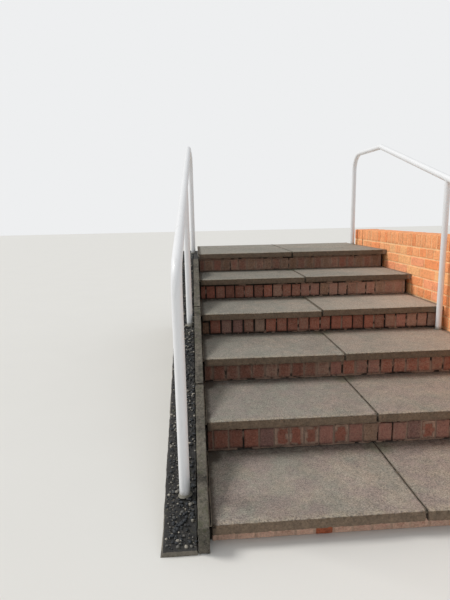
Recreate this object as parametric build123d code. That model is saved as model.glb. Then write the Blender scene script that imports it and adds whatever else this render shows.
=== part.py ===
from build123d import *
import math
import os

# A flight of outdoor concrete steps between a kerb and a brick retaining wall, with two tubular handrails.
# Millimetres. While it is laid out, X runs across the flight from the left ends of the tread slabs,
# Y runs up the flight from the nose of the bottom tread, and Z is height above the ground.

os.makedirs("parts", exist_ok=True)

# Rises: the bottom one stands in the ground's surfacing, and the others were laid by hand
first_rise = 105.0
upper_rises = [185.0, 165.0, 175.0, 180.0, 175.0]

# Precast paving slabs, laid in pairs, with their backs tucked under the riser above
slab_length = 900.0
slab_depth = 600.0
slab_thickness = 50.0
slab_joint = 10.0
slab_nose_radius = 9.0
slab_under_arris = 3.0
nose_overhang = 35.0
slab_under_riser = 20.0
landing_rows = 2

# Gaps beside the slabs: the one along the kerb stays open, the one along the wall is filled with mortar,
# except for a pocket at the end of each riser
kerb_gap = 9.0
wall_gap = 40.0
fill_below_slab_top = 3.0
fill_behind_nose = 5.0
riser_end_pocket = 60.0

# Bricks: laid on edge as headers in the risers and the coping, flat as stretchers in the wall
brick_length = 229.0
brick_on_edge_height = 108.0
brick_arris = 2.0

# Retaining wall on the right
wall_above_landing = 170.0
wall_front_past_nose = 40.0
wall_back_past_post = 50.0

# Edging kerb on the left, parallel to the pitch of the flight
kerb_names = ["kerb_lower", "kerb_middle", "kerb_upper"]
kerb_unit_depth = 150.0
kerb_thickness = 52.0
kerb_joint = 6.0
kerb_above_pitch = 25.0
kerb_front_past_nose = 40.0
kerb_end_before_landing = 165.0
kerb_arris_radius = 6.0

# Concrete haunch that holds the kerb and the left posts
haunch_width = 150.0
haunch_below_kerb_top = 95.0
haunch_below_landing = 55.0
haunch_batter = 30.0

# Handrails: one bent tube on each side, with a thinner middle post
rail_radius = 24.15
rail_wall = 3.2
bend_bore_sides = 12
middle_post_radius = 21.2
rail_above_pitch = 970.0
rail_bend_past_landing_nose = 126.0
landing_rail_rise = 20.0
bottom_bend_radius = 150.0
pitch_bend_radius = 80.0
top_bend_radius = 170.0
bottom_post_y = 220.0
top_post_past_landing_nose = 867.0
middle_post_tread_count = 3
post_nose_clearance = 3.0
post_embedment = 80.0
post_hole_clearance = 0.3
left_post_to_kerb_bottom = 54.0
left_post_to_kerb_top = 1.0
right_rail_to_wall = 50.0

# Places worked out from the sizes above
tread_tops = [first_rise]
for rise in upper_rises:
    tread_tops.append(tread_tops[-1] + rise)
tread_count = len(upper_rises)
landing_top = tread_tops[-1]
going = slab_depth - nose_overhang - slab_under_riser
nose_ys = [going * step for step in range(len(tread_tops))]
landing_nose_y = nose_ys[-1]
landing_back_y = landing_nose_y + landing_rows * slab_depth + (landing_rows - 1) * slab_joint
riser_faces = [nose_y + nose_overhang for nose_y in nose_ys]
right_slab_x = slab_length + slab_joint
flight_width = right_slab_x + slab_length
wall_face_x = flight_width + wall_gap
wall_outer_x = wall_face_x + brick_length
top_post_y = landing_nose_y + top_post_past_landing_nose
right_rail_x = wall_face_x - right_rail_to_wall
wall_front_y = -wall_front_past_nose
wall_back_y = top_post_y + wall_back_past_post
wall_top = landing_top + wall_above_landing
coping_base = wall_top - brick_on_edge_height
kerb_inner_x = -kerb_gap
kerb_outer_x = kerb_inner_x - kerb_thickness
left_rail_x_bottom = kerb_outer_x - left_post_to_kerb_bottom
left_rail_x_top = kerb_outer_x - left_post_to_kerb_top
haunch_outer_x = kerb_outer_x - haunch_width
haunch_level_z = landing_top - haunch_below_landing
pitch_slope = (landing_top - first_rise) / landing_nose_y
pitch_angle = math.atan(pitch_slope)
kerb_run = (landing_nose_y - kerb_end_before_landing + kerb_front_past_nose) / math.cos(pitch_angle)
kerb_unit_length = (kerb_run - (len(kerb_names) - 1) * kerb_joint) / len(kerb_names)
middle_post_y = nose_ys[middle_post_tread_count] - post_nose_clearance - middle_post_radius
front_y = -max(wall_front_past_nose, kerb_front_past_nose)


def pitch_z(y):
    """Height of the line through the noses at a place up the flight."""
    return first_rise + pitch_slope * y


def block(x_range, y_range, z_range):
    """A rectangular block between three pairs of limits."""
    size = [limits[1] - limits[0] for limits in (x_range, y_range, z_range)]
    corner = Pos(x_range[0], y_range[0], z_range[0])
    return corner * Box(*size, align=(Align.MIN, Align.MIN, Align.MIN))


def side_profile(points, x_range):
    """A solid with an outline drawn in Y and Z, as deep as the given limits in X."""
    outline = Plane.YZ * make_face(Polyline(*points, close=True))
    return Pos(x_range[0], 0, 0) * extrude(outline, x_range[1] - x_range[0])


# Stepped concrete under the slabs

def wall_joint():
    """The mortar along the wall: beside each slab, and behind the open pocket at each riser's end."""
    across = (flight_width, wall_face_x)
    blocks = []
    for step, top in enumerate(tread_tops):
        foot = tread_tops[step - 1] if step > 0 else 0.0
        seat_z = top - slab_thickness
        slab_back = nose_ys[step] + slab_depth if step < tread_count else landing_back_y
        beside_riser = (riser_faces[step] + riser_end_pocket, riser_faces[step] + brick_length)
        beside_slab = (nose_ys[step] + fill_behind_nose, slab_back)
        blocks.append(block(across, beside_riser, (foot, seat_z)))
        blocks.append(block(across, beside_slab, (seat_z, top - fill_below_slab_top)))
    return blocks


def core():
    """The concrete mass: a seat for each slab, the ground behind the risers, and the joint along the wall."""
    outline = [(riser_faces[0] + brick_length, 0)]
    for step, top in enumerate(tread_tops):
        riser_back = riser_faces[step] + brick_length
        seat_z = top - slab_thickness
        outline.append((riser_back, seat_z))
        if step < tread_count:
            slab_back = nose_ys[step] + slab_depth
            outline.append((slab_back, seat_z))
            outline.append((slab_back, top))
            outline.append((riser_faces[step + 1] + brick_length, top))
        else:
            outline.append((landing_back_y, seat_z))
    outline.append((landing_back_y, 0))
    body = side_profile(outline, (kerb_inner_x, wall_face_x))
    return body.fuse(*wall_joint()).clean()


# Brick risers

def riser(step):
    """One course of bricks on edge between the tread below and the slab above."""
    foot = tread_tops[step - 1] if step > 0 else 0.0
    head = tread_tops[step] - slab_thickness
    depth = (riser_faces[step], riser_faces[step] + brick_length)
    course = block((0, flight_width), depth, (foot, head))
    front_edges = course.edges().filter_by(Axis.Z).group_by(Axis.Y)[0]
    return fillet(front_edges, brick_arris)


# Paving slabs

def slab(x, y, top):
    """One paving slab with its top at the given height: a worn round nose over a broken lower arris."""
    body = block((x, x + slab_length), (y, y + slab_depth), (top - slab_thickness, top))
    nose = body.edges().filter_by(Axis.X).group_by(Axis.Y)[0].sort_by(Axis.Z)[-1]
    body = fillet(nose, slab_nose_radius)
    under_nose = body.edges().filter_by(Axis.X).group_by(Axis.Z)[0].sort_by(Axis.Y)[0]
    return chamfer(under_nose, slab_under_arris)


def tread_slabs():
    """The two slabs of every tread and of every row of the landing, by name."""
    slabs = {}
    for step in range(tread_count):
        slabs[f"tread_{step + 1}_left"] = slab(0, nose_ys[step], tread_tops[step])
        slabs[f"tread_{step + 1}_right"] = slab(right_slab_x, nose_ys[step], tread_tops[step])
    row_names = ["front", "back"] + [f"row_{row + 1}" for row in range(2, landing_rows)]
    for row in range(landing_rows):
        row_y = landing_nose_y + row * (slab_depth + slab_joint)
        slabs[f"landing_{row_names[row]}_left"] = slab(0, row_y, landing_top)
        slabs[f"landing_{row_names[row]}_right"] = slab(right_slab_x, row_y, landing_top)
    return slabs


# Retaining wall

def retaining_wall():
    """The wall below its coping, from the ground up."""
    body = block((wall_face_x, wall_outer_x), (wall_front_y, wall_back_y), (0, coping_base))
    return fillet(body.edges().filter_by(Axis.Z), brick_arris)


def coping():
    """Bricks on edge across the top of the wall."""
    body = block((wall_face_x, wall_outer_x), (wall_front_y, wall_back_y), (coping_base, wall_top))
    return chamfer(body.edges().group_by(Axis.Z)[-1], brick_arris)


# Kerb and haunch

def kerb_z(y):
    """Height of the kerb's top edge."""
    return pitch_z(y) + kerb_above_pitch


def kerb_units():
    """Edging units end to end up the slope: the first is cut upright at its front and level below."""
    along = Vector(0, math.cos(pitch_angle), math.sin(pitch_angle))
    down = Vector(0, math.sin(pitch_angle), -math.cos(pitch_angle))
    front = Vector(0, -kerb_front_past_nose, kerb_z(-kerb_front_past_nose))
    ground = block((kerb_outer_x, kerb_inner_x), (front.Y, landing_back_y), (0, 2 * landing_top))
    overrun = kerb_unit_depth
    units = {}
    for place, name in enumerate(kerb_names):
        start = front + along * (place * (kerb_unit_length + kerb_joint))
        if place == 0:
            start = start - along * overrun
        end = front + along * (place * (kerb_unit_length + kerb_joint) + kerb_unit_length)
        corners = [start, end, end + down * kerb_unit_depth, start + down * kerb_unit_depth]
        unit = side_profile([(corner.Y, corner.Z) for corner in corners], (kerb_outer_x, kerb_inner_x))
        unit = unit & ground
        long_edges = unit.edges().filter_by(lambda edge: abs(edge.tangent_at(0).dot(along)) > 0.999)
        top_edges = [edge for edge in long_edges if edge.center().Z > kerb_z(edge.center().Y) - 1]
        units[name] = fillet(top_edges, kerb_arris_radius)
    return units


def haunch(units):
    """Concrete beside and under the kerb, down to the ground, with the kerb bedded in it."""
    front = -kerb_front_past_nose
    front_z = kerb_z(front) - haunch_below_kerb_top
    level_y = (haunch_level_z - kerb_z(0) + haunch_below_kerb_top) / pitch_slope
    outline = [
        (front, 0),
        (front, front_z),
        (level_y, haunch_level_z),
        (landing_back_y, haunch_level_z),
        (landing_back_y, 0),
    ]
    body = side_profile(outline, (haunch_outer_x, kerb_inner_x))
    top_edge = body.edges().group_by(Axis.X)[0].filter_by(
        lambda edge: abs(edge.tangent_at(0).Y) > 0.5 and edge.center().Z > 1
    )
    body = chamfer(top_edge, haunch_batter)
    along = Vector(0, math.cos(pitch_angle), math.sin(pitch_angle))
    down = Vector(0, math.sin(pitch_angle), -math.cos(pitch_angle))
    start = Vector(0, front, kerb_z(front)) - along * kerb_unit_depth
    run = len(kerb_names) * (kerb_unit_length + kerb_joint) - kerb_joint
    end = Vector(0, front, kerb_z(front)) + along * run
    rise = down * -kerb_unit_depth
    corners = [start + rise, end + rise, end + down * kerb_unit_depth, start + down * kerb_unit_depth]
    bed = side_profile([(corner.Y, corner.Z) for corner in corners], (kerb_outer_x, kerb_inner_x))
    return body - bed


# Handrails

def follow(edge, section):
    """A section carried along one straight run, or round one bend."""
    start = Plane(origin=edge @ 0, z_dir=edge % 0) * section
    if edge.geom_type == GeomType.LINE:
        return extrude(start, edge.length)
    turn = (edge % 0).get_angle(edge % 1)
    axis = Axis(edge.arc_center, (edge % 0).cross(edge % 1))
    return revolve(start, axis, turn)


def tube_section(radius):
    """The ring of a straight tube with the handrail's wall."""
    return Circle(radius) - Circle(radius - rail_wall)


def bend_section(radius):
    """The ring of a bend: the bore, which the straight runs close off, is drawn with flat sides."""
    return Circle(radius) - RegularPolygon(radius - rail_wall, bend_bore_sides)


def foot_level(x, y):
    """Height of the surface that a post stands in at a place in plan."""
    if x < kerb_outer_x or (x < 0 and y > nose_ys[-1]):
        slope_z = kerb_z(y) - haunch_below_kerb_top
        return min(slope_z, haunch_level_z)
    below = [top for nose_y, top in zip(nose_ys, tread_tops) if nose_y <= y - rail_radius]
    return below[-1]


def handrail(side, x_bottom, x_top):
    """One bent tube with its posts, cut into its straight runs and bends, by name."""
    run = Vector(x_top - x_bottom, top_post_y - bottom_post_y, 0)
    direction = run.normalized()
    upright = Plane(
        origin=(x_bottom, bottom_post_y, 0),
        x_dir=direction,
        z_dir=direction.cross(Vector(0, 0, 1)),
    )
    stretch = run.length / (top_post_y - bottom_post_y)
    axis_above_pitch = rail_above_pitch - rail_radius / math.cos(pitch_angle)
    corner_y = landing_nose_y + rail_bend_past_landing_nose
    level_z = pitch_z(corner_y) + axis_above_pitch
    corners = [
        (0, foot_level(x_bottom, bottom_post_y) - post_embedment),
        (0, pitch_z(bottom_post_y) + axis_above_pitch),
        ((corner_y - bottom_post_y) * stretch, level_z),
        (run.length, level_z + landing_rail_rise),
        (run.length, foot_level(x_top, top_post_y) - post_embedment),
    ]
    route = FilletPolyline(*corners, radius=[bottom_bend_radius, pitch_bend_radius, top_bend_radius])
    names = ["bottom_post", "bend", "sloping_rail", "bend", "level_rail", "bend", "top_post"]
    tubes = {}
    bends = []
    for name, edge in zip(names, route.edges()):
        if name == "bend":
            bends.append(follow(upright * edge, bend_section(rail_radius)))
        else:
            tubes[f"{side}_{name}"] = follow(upright * edge, tube_section(rail_radius))
    tubes[f"{side}_rail_bends"] = Compound(children=bends)
    sloping = upright * route.edges()[names.index("sloping_rail")]
    middle_run = (middle_post_y - bottom_post_y) * stretch
    middle_x = x_bottom + (x_top - x_bottom) * (middle_post_y - bottom_post_y) / run.Y
    middle_foot = foot_level(middle_x, middle_post_y) - post_embedment
    middle_head = pitch_z(middle_post_y) + axis_above_pitch
    middle = upright * Line((middle_run, middle_foot), (middle_run, middle_head))
    rail_solid = follow(sloping, Circle(rail_radius))
    tubes[f"{side}_middle_post"] = follow(middle, tube_section(middle_post_radius)) - rail_solid
    return tubes


def post_holes(tubes):
    """The round holes that the posts stand in, a little wider than the posts."""
    holes = []
    for name, tube in tubes.items():
        if not name.endswith("post"):
            continue
        box = tube.bounding_box()
        radius = middle_post_radius if "middle" in name else rail_radius
        hole = Cylinder(
            radius + post_hole_clearance,
            2 * post_embedment,
            align=(Align.CENTER, Align.CENTER, Align.MIN),
        )
        holes.append(Pos(box.center().X, box.center().Y, box.min.Z) * hole)
    return holes


def overlaps(first, second):
    """Whether the boxes of two solids share a volume."""
    a = first.bounding_box()
    b = second.bounding_box()
    pairs = ((a.min.X, a.max.X, b.min.X, b.max.X), (a.min.Y, a.max.Y, b.min.Y, b.max.Y),
             (a.min.Z, a.max.Z, b.min.Z, b.max.Z))
    return all(a_low < b_high and b_low < a_high for a_low, a_high, b_low, b_high in pairs)


# The whole part

masonry = {"concrete_core": core()}
for step in range(len(tread_tops)):
    masonry[f"riser_{step + 1}"] = riser(step)
masonry.update(tread_slabs())
masonry["right_wall"] = retaining_wall()
masonry["right_wall_coping"] = coping()
masonry.update(kerb_units())
masonry["left_haunch"] = haunch(masonry)

rails = handrail("left", left_rail_x_bottom, left_rail_x_top)
rails.update(handrail("right", right_rail_x, right_rail_x))

for hole in post_holes(rails):
    for name, solid in masonry.items():
        if overlaps(hole, solid):
            masonry[name] = solid - hole

# The origin is the middle of the part's outer box, on the ground
origin_x = (haunch_outer_x + wall_outer_x) / 2
origin_y = (front_y + landing_back_y) / 2
for name, solid in {**masonry, **rails}.items():
    placed = Pos(-origin_x, -origin_y, 0) * solid
    export_step(placed, f"parts/{name}.step")
print("origin", origin_x, origin_y, "slope", round(pitch_slope, 4), "middle post", middle_post_y)
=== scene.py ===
"""Dresses a flight of concrete steps: worn slabs, brick risers, a brick wall, a kerb and white handrails."""

import math
import random
from typing import NamedTuple

import bmesh
import bpy
from mathutils import Matrix, Vector, noise


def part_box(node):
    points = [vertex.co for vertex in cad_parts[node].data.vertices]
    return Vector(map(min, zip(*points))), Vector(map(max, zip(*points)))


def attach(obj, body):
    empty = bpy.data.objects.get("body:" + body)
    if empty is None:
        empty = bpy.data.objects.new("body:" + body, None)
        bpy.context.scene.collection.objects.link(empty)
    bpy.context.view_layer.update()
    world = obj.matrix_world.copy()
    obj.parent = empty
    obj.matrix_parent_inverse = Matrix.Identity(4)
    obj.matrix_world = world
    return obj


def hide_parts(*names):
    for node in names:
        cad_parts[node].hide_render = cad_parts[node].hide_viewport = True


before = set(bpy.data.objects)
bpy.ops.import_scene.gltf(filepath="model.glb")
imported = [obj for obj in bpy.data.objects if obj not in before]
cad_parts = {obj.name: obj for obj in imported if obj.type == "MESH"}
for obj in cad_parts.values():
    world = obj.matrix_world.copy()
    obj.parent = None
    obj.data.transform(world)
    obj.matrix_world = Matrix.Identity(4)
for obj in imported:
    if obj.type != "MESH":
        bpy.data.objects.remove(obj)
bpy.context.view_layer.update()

bl_info = {
    "name": "Concrete Steps",
    "version": (1, 0, 0),
    "blender": (4, 5, 0),
    "location": "View3D > Sidebar > Steps",
    "description": "Finishes a flight of slab steps with brick risers, a wall, a kerb and handrails",
    "category": "Object",
}


# Settings

def display(red, green, blue):
    """A colour as it shows on a screen, from 0 to 255, as Blender's linear values."""
    parts = (red / 255, green / 255, blue / 255)
    return tuple(part / 12.92 if part <= 0.04045 else ((part + 0.055) / 1.055) ** 2.4 for part in parts)


def colour(name, description, red, green, blue):
    """A colour setting."""
    return bpy.props.FloatVectorProperty(
        name=name, description=description, subtype="COLOR", size=3, min=0, max=1,
        default=display(red, green, blue))


def length(name, description, metres):
    """A setting for a size in metres."""
    return bpy.props.FloatProperty(
        name=name, description=description, default=metres, min=0, precision=4,
        subtype="DISTANCE", unit="LENGTH")


def degrees(name, description, turn):
    """A setting for an angle, given in degrees."""
    return bpy.props.FloatProperty(
        name=name, description=description, default=math.radians(turn), subtype="ANGLE", unit="ROTATION")


def strength(name, description, default):
    """A setting for the strength of a light."""
    return bpy.props.FloatProperty(name=name, description=description, default=default, min=0)


class STEPS_PG_slabs(bpy.types.PropertyGroup):
    """Sizes and colours of the paving slabs"""
    nose_radius: length("Nose radius", "Round of the slabs' top front edge", 0.009)
    arris: length("Arris", "Small break of the slabs' other edges", 0.0025)
    wear: length("Wear", "How deep the noses are worn and pitted", 0.0045)
    wear_reach: length("Wear reach", "How far the wear reaches from the nose", 0.024)
    tail: length("Tail", "How far a tread's slab runs on under the next riser", 0.055)
    edge_dirt: length("Edge dirt", "Width of the dirt along a slab's outer edge", 0.045)
    joint_dirt: length("Joint dirt", "Width of the dirt along the joints", 0.012)
    moss_reach: length("Moss reach", "How far the green tint spreads from a joint's back end", 0.16)
    column: length("Grid", "Width of the mesh's columns across the flight", 0.0055)
    grey: colour("Grey", "Colour of the greyer slabs", 130, 127, 117)
    pink: colour("Pink", "Colour of the pinker slabs", 156, 143, 129)
    mauve: colour("Mauve", "Colour of the purple-grey clouds on the slabs", 132, 116, 113)
    # The front faces' colour is dirt on them together with painted shade.
    front: colour("Front", "Colour of the slabs' front faces: dirt with painted shade", 112, 94, 76)
    dirt: colour("Dirt", "Colour of the dirt at the backs of the treads", 62, 53, 43)
    moss: colour("Moss", "Green tint beside the joints", 96, 104, 78)
    worn: colour("Worn", "Stone that shows where the noses are worn", 190, 176, 152)
    pale_speck: colour("Pale specks", "Pale grains in the slabs", 188, 178, 162)
    dark_speck: colour("Dark specks", "Dark grains in the slabs", 66, 58, 50)


class STEPS_PG_bricks(bpy.types.PropertyGroup):
    """Sizes and colours of the bricks on edge in the risers"""
    thickness: length("Thickness", "Thickness of a brick", 0.073)
    pitch: length("Pitch", "From one brick on edge to the next", 0.083)
    height: length("Height", "Width of a brick, which is its height on edge", 0.108)
    arris: length("Arris", "Break of a brick's edges", 0.003)
    roughness: length("Roughness", "How deep the bricks' faces are pitted", 0.0022)
    mortar_back: length("Mortar back", "How far the mortar stands behind the risers' faces", 0.0048)
    smear_reach: length("Smear reach", "How far mortar reaches in from a brick's edges", 0.020)
    foot_dirt: length("Foot dirt", "Height of the dirt at a riser's foot", 0.030)
    # Height of the darkening painted at the top of each riser brick as shade under the slab.
    head_shade: length("Head shade", "Height of the painted shade under a slab", 0.016)
    deepest: length("Deepest joint", "Depth of the deepest joints", 0.018)
    dropped: length("Dropped", "How far the low bricks of the fourth riser have dropped", 0.018)
    set_back: length("Set back", "How far the low bricks of the fourth riser stand back", 0.006)
    red: colour("Red", "Red riser bricks", 142, 88, 72)
    dull: colour("Dull red", "Dull red riser bricks", 124, 80, 66)
    pink: colour("Pink", "Paler riser bricks", 150, 104, 92)
    brown: colour("Brown", "Brown riser bricks", 118, 90, 70)
    purple: colour("Purple", "Purple-grey riser bricks", 126, 93, 86)
    tan: colour("Tan", "Tan riser bricks", 140, 112, 92)
    orange: colour("Orange", "The barest bricks", 164, 90, 60)
    mortar: colour("Mortar", "Mortar in the risers", 134, 112, 98)
    # Dark colour for burnt specks and dirt, and for the painted shade in deep joints and under the slabs.
    soot_and_shade: colour("Deep joint", "Dirt and painted shade in the open joints", 34, 28, 22)


class STEPS_PG_wall(bpy.types.PropertyGroup):
    """Sizes and colours of the brick wall; its brick and mortar colours are lighter than the wall's own, as
    painted sunlight
    """
    brick_length: length("Brick length", "Length of a brick", 0.229)
    brick_width: length("Brick width", "Width of a brick", 0.108)
    brick_height: length("Brick height", "Height of a brick laid flat", 0.073)
    joint: length("Joint", "Width of a mortar joint", 0.010)
    recess: length("Recess", "How far the mortar stands back", 0.0045)
    mortar_wave: length("Mortar wave", "How uneven the mortar is", 0.0016)
    arris: length("Arris", "Break of the courses' edges", 0.0035)
    roughness: length("Roughness", "How deep the courses' faces are pitted", 0.0022)
    coping_arris: length("Coping arris", "Break of the coping's edges", 0.004)
    # The wall's brick and mortar colours are lighter than its own, to carry painted sunlight on its face.
    light: colour("Light brick", "Lighter wall bricks", 255, 189, 130)
    middle: colour("Brick", "Most wall bricks", 252, 171, 115)
    dark: colour("Dark brick", "Darker wall bricks", 246, 155, 99)
    pink: colour("Pink brick", "Pinker wall bricks", 252, 167, 121)
    mortar: colour("Mortar", "Mortar in the wall", 250, 202, 150)
    # Also the dark of the wall's deep joints, where it is painted shade in the recess.
    stain_and_shade: colour("Stain", "Dirt on the wall and in its joints", 176, 112, 76)
    open_joint: length("Open joint", "From the wall's far end to its open upright joint", 0.235)
    open_depth: length("Open depth", "Depth of the open upright joint", 0.016)


class STEPS_PG_edge(bpy.types.PropertyGroup):
    """Sizes and colours of the kerb, the haunch and the concrete core"""
    unit_depth: length("Unit depth", "Depth of an edging unit", 0.150)
    kerb_arris: length("Kerb arris", "Round of the units' top edges", 0.006)
    haunch_drop: length("Haunch drop", "From the kerb's top down to the haunch", 0.095)
    batter: length("Batter", "Chamfer of the haunch's outer edge", 0.030)
    stone_size: length("Stone size", "Middle size of the stones in the haunch", 0.009)
    kerb_pits: length("Kerb pits", "How deep the edging units are pitted", 0.0045)
    kerb_grain: length("Kerb grain", "How deep the fine pits of the edging units are", 0.0026)
    haunch_pits: length("Haunch pits", "How uneven the haunch is", 0.006)
    kerb: colour("Kerb", "Colour of the edging units", 91, 86, 77)
    lichen: colour("Lichen", "Greenish growth on the edging units", 80, 82, 62)
    haunch: colour("Haunch", "Colour of the haunch's concrete", 50, 49, 48)
    stone: colour("Stone", "Colour of the stones in the haunch", 50, 53, 57)
    pale_stone: colour("Pale stone", "Colour of the palest stones", 164, 158, 146)
    core: colour("Core", "Colour of the concrete core", 118, 112, 102)
    fill: colour("Fill", "Colour of the mortar beside the wall", 138, 122, 106)
    # Painted shade for the pockets at the risers' ends.
    pocket: colour("Pocket", "Colour of the dirt in the pockets at the risers' ends", 58, 46, 36)
    joint_dirt: colour("Joint dirt", "Colour of the dirt in the slabs' joints", 118, 108, 94)
    pale_grit: colour("Pale grit", "Pale stones in the rough concrete", 146, 138, 122)
    dark_grit: colour("Dark grit", "Dark stones in the rough concrete", 50, 48, 44)
    kerb_joint_depth: length("Kerb joint depth", "Depth of the crack beside the kerb", 0.005)
    stone_count: bpy.props.IntProperty(
        name="Stone count", description="How many stones show in the haunch", default=3600, min=0)


class STEPS_PG_rails(bpy.types.PropertyGroup):
    """Sizes and colours of the handrails"""
    bottom_bend: length("Bottom bend", "Radius of the bend above the bottom post", 0.150)
    pitch_bend: length("Pitch bend", "Radius of the bend at the top of the pitch", 0.080)
    top_bend: length("Top bend", "Radius of the bend above the top post", 0.170)
    weld: length("Weld", "Radius of the weld bead", 0.0032)
    set_in: length("Set in", "How deep the posts' feet stand in the ground", 0.080)
    grime_height: length("Grime height", "How far the grime climbs the posts at the rail's ends", 0.060)
    low_grime: length("Low grime", "How far the grime climbs the middle post", 0.045)
    coating: colour("Coating", "Colour of the white coating", 236, 237, 239)
    grime: colour("Grime", "Colour of the dirt on the coating", 150, 146, 136)


class STEPS_PG_stage(bpy.types.PropertyGroup):
    """Floor, light and camera"""
    floor: colour("Floor", "Colour of the floor", 222, 221, 217)
    backdrop: colour("Backdrop", "Colour behind the steps", 238, 239, 240)
    sky: strength("Sky", "Strength of the even light from all sides", 0.62)
    sun: strength("Sun", "Strength of the key light", 1.9)
    sun_spread: degrees("Sun spread", "Apparent size of the key light", 18)
    focal_pixels: bpy.props.FloatProperty(
        name="Focal length", description="Focal length in pixels of a 600 pixel high picture",
        default=452, min=1)
    yaw: degrees("Yaw", "How far the camera turns to the right", 3.5)
    pitch: degrees("Pitch", "How far the camera looks down", 10.47)
    roll: degrees("Roll", "How far the camera leans", -1.2)
    camera_place: bpy.props.FloatVectorProperty(
        name="Camera", description="Place of the camera from the bottom slab's left nose, on the ground",
        default=(-0.029, -1.642, 1.334), size=3, subtype="TRANSLATION", unit="LENGTH")


class STEPS_PG_all(bpy.types.PropertyGroup):
    """All the settings of the steps"""
    slabs: bpy.props.PointerProperty(type=STEPS_PG_slabs)
    bricks: bpy.props.PointerProperty(type=STEPS_PG_bricks)
    wall: bpy.props.PointerProperty(type=STEPS_PG_wall)
    edge: bpy.props.PointerProperty(type=STEPS_PG_edge)
    rails: bpy.props.PointerProperty(type=STEPS_PG_rails)
    stage: bpy.props.PointerProperty(type=STEPS_PG_stage)


# Shader maths

class Value:
    """A number from a shader socket, for use in Python expressions."""

    def __init__(self, paint, socket):
        self.paint = paint
        self.socket = socket

    def __add__(self, other):
        return self.paint.maths("ADD", self, other)

    def __sub__(self, other):
        return self.paint.maths("SUBTRACT", self, other)

    def __rsub__(self, other):
        return self.paint.maths("SUBTRACT", other, self)

    def __mul__(self, other):
        return self.paint.maths("MULTIPLY", self, other)

    __radd__ = __add__
    __rmul__ = __mul__


class Paint:
    """The nodes of one material."""

    def __init__(self, name):
        self.material = bpy.data.materials.new(name)
        self.material.use_nodes = True
        self.nodes = self.material.node_tree.nodes
        self.links = self.material.node_tree.links
        self.shader = self.nodes["Principled BSDF"]
        self.place = self.node("ShaderNodeTexCoord", {}, {}, "Object")

    def node(self, kind, settings, values, output):
        """Adds a node: its settings first, then its sockets' values or links, and gives one output."""
        made = self.nodes.new(kind)
        for name, setting in settings.items():
            if name == "stops":
                self.set_stops(made.color_ramp, setting)
            else:
                setattr(made, name, setting)
        for socket, value in values.items():
            self.feed(made.inputs[socket], value)
        return Value(self, made.outputs[output])

    def set_stops(self, ramp, stops):
        """Gives a ramp its stops, pairs of place and colour, with a hard change at each."""
        ramp.interpolation = "CONSTANT"
        while len(ramp.elements) < len(stops):
            ramp.elements.new(1.0)
        for element, (place, tint) in zip(ramp.elements, stops):
            element.position = place
            element.color = (*tint, 1.0)

    def feed(self, socket, value):
        """Links a value to a socket, or sets it there."""
        if isinstance(value, Value):
            self.links.new(value.socket, socket)
        elif socket.type == "RGBA":
            socket.default_value = (*value, 1.0)
        else:
            socket.default_value = value

    def set(self, **sockets):
        """Sets the shader's own sockets, named with underscores for spaces."""
        for name, value in sockets.items():
            self.feed(self.shader.inputs[name.replace("_", " ")], value)

    def maths(self, operation, first, second):
        """One sum."""
        return self.node("ShaderNodeMath", {"operation": operation}, {0: first, 1: second}, 0)

    def attribute(self, name):
        """A number kept on the mesh."""
        return self.node("ShaderNodeAttribute", {"attribute_name": name}, {}, "Fac")

    def uneven(self, *waves):
        """A factor around 1 from noises, each with its scale, its detail and how strongly it counts."""
        total = 1.0
        for scale, detail, amount in waves:
            total = total + amount * (self.noise(scale, detail, 0.62) - 0.5)
        return total

    def specks(self, scale, size, cover):
        """Round specks that lie in patches, with a size and a cover from 0 to 1."""
        patches = self.step(self.noise(scale * 0.3), 0.56 - 0.2 * cover, 0.64 - 0.2 * cover)
        return self.step(self.cells(scale), size, size * 0.6) * patches

    def noise(self, scale, detail=2.0, roughness=0.5, place=None):
        """Soft noise from 0 to 1, with scale in waves to the metre."""
        values = {"Vector": place or self.place, "Scale": scale, "Detail": detail, "Roughness": roughness}
        return self.node("ShaderNodeTexNoise", {}, values, "Fac")

    def cells(self, scale):
        """The distance to the nearest middle of a round cell."""
        return self.node("ShaderNodeTexVoronoi", {}, {"Vector": self.place, "Scale": scale}, "Distance")

    def step(self, value, low, high):
        """0 below low, 1 above high and smooth between; the other way round where low is above high."""
        settings = {"interpolation_type": "SMOOTHSTEP"}
        if low < high:
            values = {"Value": value, "From Min": low, "From Max": high}
        else:
            values = {"Value": value, "From Min": high, "From Max": low, "To Min": 1.0, "To Max": 0.0}
        return self.node("ShaderNodeMapRange", settings, values, "Result")

    def mix(self, factor, first, second):
        """One colour where factor is 0, and the other where it is 1."""
        values = {"Factor": factor, 6: first, 7: second}
        return self.node("ShaderNodeMix", {"data_type": "RGBA"}, values, 2)

    def scaled(self, tint, factor):
        """A colour made lighter or darker by a factor."""
        values = {0: tint, "Scale": factor}
        return self.node("ShaderNodeVectorMath", {"operation": "SCALE"}, values, 0)

    def choice(self, value, stops):
        """One colour of a row of stops."""
        return self.node("ShaderNodeValToRGB", {"stops": stops}, {"Fac": value}, "Color")

    def where(self, name, ragged, low, high):
        """A factor that rises from 0 to 1 with a number kept on the mesh, made ragged by noise."""
        return self.step(self.attribute(name) + ragged, low, high)

    def bump(self, height, depth, strength=1.0):
        """Makes the surface rough by a height from 0 to 1, times a depth in metres."""
        values = {"Height": height, "Distance": depth, "Strength": strength}
        self.set(Normal=self.node("ShaderNodeBump", {}, values, "Normal"))


# Meshes

def smooth(value):
    """A smooth step from 0 to 1."""
    value = max(0.0, min(1.0, value))
    return value * value * (3 - 2 * value)


def between(pair, part):
    """The number that lies a part of the way from the first of a pair to the second."""
    return pair[0] + (pair[1] - pair[0]) * part


def swell(place):
    """Soft noise from 0 to 1 at a place."""
    return 0.5 + 0.5 * noise.noise(place)


def spread(start, end, pitch):
    """Places between two ends, evenly spaced at about a pitch."""
    count = max(1, round((end - start) / pitch))
    return [start + (end - start) * place / count for place in range(1, count)]


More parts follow.
